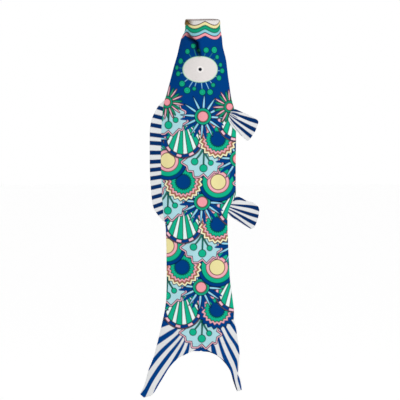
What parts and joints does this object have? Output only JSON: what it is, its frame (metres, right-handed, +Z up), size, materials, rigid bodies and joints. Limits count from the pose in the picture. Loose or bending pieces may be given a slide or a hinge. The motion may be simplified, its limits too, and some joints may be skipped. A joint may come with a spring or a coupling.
{
  "type": "carp streamer",
  "caption": "Hanging cloth windsock in the shape of a carp: a printed tube with a hoop in its mouth, striped side fins and a forked striped tail, open at both ends.",
  "frame": {"origin": "centre of the mouth hoop, on the plane of its wire", "axes": "+Z up, out of the mouth along the tube; -Y the front print; -X the back with the dorsal fin; +X the belly"},
  "size_m": [0.3157, 0.0938, 1.0005],
  "materials": {
    "printed_cloth": "multicoloured print on thin woven polyester",
    "striped_cloth": "navy and white stripes on thin woven polyester",
    "hem_cloth": "plain white woven cloth",
    "seam_cloth": "folded edge of the printed cloth",
    "thread": "polyester sewing thread",
    "hoop_wire": "drawn wire",
    "ferrule": "crimped",
    "eyelet_metal": "nickel plated"
  },
  "bodies": {
    "head": {"back_head_panel": "printed_cloth", "belly_head_seam": "seam_cloth", "dorsal_head_seam": "seam_cloth", "front_head_panel": "printed_cloth", "hem_thread": "thread", "hoop_ferrule": "ferrule", "left_eyelet": "eyelet_metal", "left_eyelet_washer": "eyelet_metal", "mouth_hem": "hem_cloth", "mouth_hoop": "hoop_wire", "right_eyelet": "eyelet_metal", "right_eyelet_washer": "eyelet_metal"},
    "trunk": {"back_trunk_panel": "printed_cloth", "belly_trunk_seam": "seam_cloth", "dorsal_trunk_seam": "seam_cloth", "front_trunk_panel": "printed_cloth"},
    "rear": {"back_rear_panel": "printed_cloth", "belly_rear_seam": "seam_cloth", "dorsal_rear_seam": "seam_cloth", "front_rear_panel": "printed_cloth"},
    "tail": {"back_tail_panel": "printed_cloth", "belly_tail_seam": "seam_cloth", "dorsal_tail_seam": "seam_cloth", "front_tail_panel": "printed_cloth"},
    "left_lobe": {"left_lobe_back": "striped_cloth", "left_lobe_front": "striped_cloth", "left_lobe_seam": "seam_cloth"},
    "right_lobe": {"right_lobe_back": "striped_cloth", "right_lobe_front": "striped_cloth", "right_lobe_seam": "seam_cloth"},
    "dorsal_fin": {"dorsal_fin_back": "striped_cloth", "dorsal_fin_front": "striped_cloth", "dorsal_fin_root_hem": "striped_cloth"},
    "pectoral_fin": {"pectoral_fin_back": "striped_cloth", "pectoral_fin_front": "striped_cloth", "pectoral_fin_root_hem": "striped_cloth"},
    "pelvic_fin": {"pelvic_fin_back": "striped_cloth", "pelvic_fin_front": "striped_cloth", "pelvic_fin_root_hem": "striped_cloth"}
  },
  "joints": [
    {"name": "shoulder_flex", "type": "hinge", "parent": "head", "child": "trunk", "pos_m": [0, 0, -0.18], "axis": [1, 0, 0], "range_deg": [-35, 35]},
    {"name": "waist_flex", "type": "hinge", "parent": "trunk", "child": "rear", "pos_m": [0, 0, -0.581], "axis": [1, 0, 0], "range_deg": [-45, 45]},
    {"name": "tail_flex", "type": "hinge", "parent": "rear", "child": "tail", "pos_m": [0, 0, -0.787], "axis": [1, 0, 0], "range_deg": [-45, 45]},
    {"name": "left_lobe_flap", "type": "hinge", "parent": "tail", "child": "left_lobe", "pos_m": [0, 0, -0.88], "axis": [1, 0, 0], "range_deg": [-60, 60]},
    {"name": "right_lobe_flap", "type": "hinge", "parent": "tail", "child": "right_lobe", "pos_m": [0, 0, -0.88], "axis": [1, 0, 0], "range_deg": [-60, 60]},
    {"name": "dorsal_fin_flap", "type": "hinge", "parent": "trunk", "child": "dorsal_fin", "pos_m": [-0.1116, 0, -0.369], "axis": [0, 0, 1], "range_deg": [-75, 75], "stiffness_Nm_per_rad": 0.002},
    {"name": "pectoral_fin_flap", "type": "hinge", "parent": "trunk", "child": "pectoral_fin", "pos_m": [0.081, -0.0072, -0.234], "axis": [0.3939, 0, 0.9191], "range_deg": [-90, 5], "stiffness_Nm_per_rad": 0.002},
    {"name": "pelvic_fin_flap", "type": "hinge", "parent": "trunk", "child": "pelvic_fin", "pos_m": [0.08977, 0, -0.46261], "axis": [0.4063, 0, 0.9137], "range_deg": [-75, 75], "stiffness_Nm_per_rad": 0.002}
  ]
}
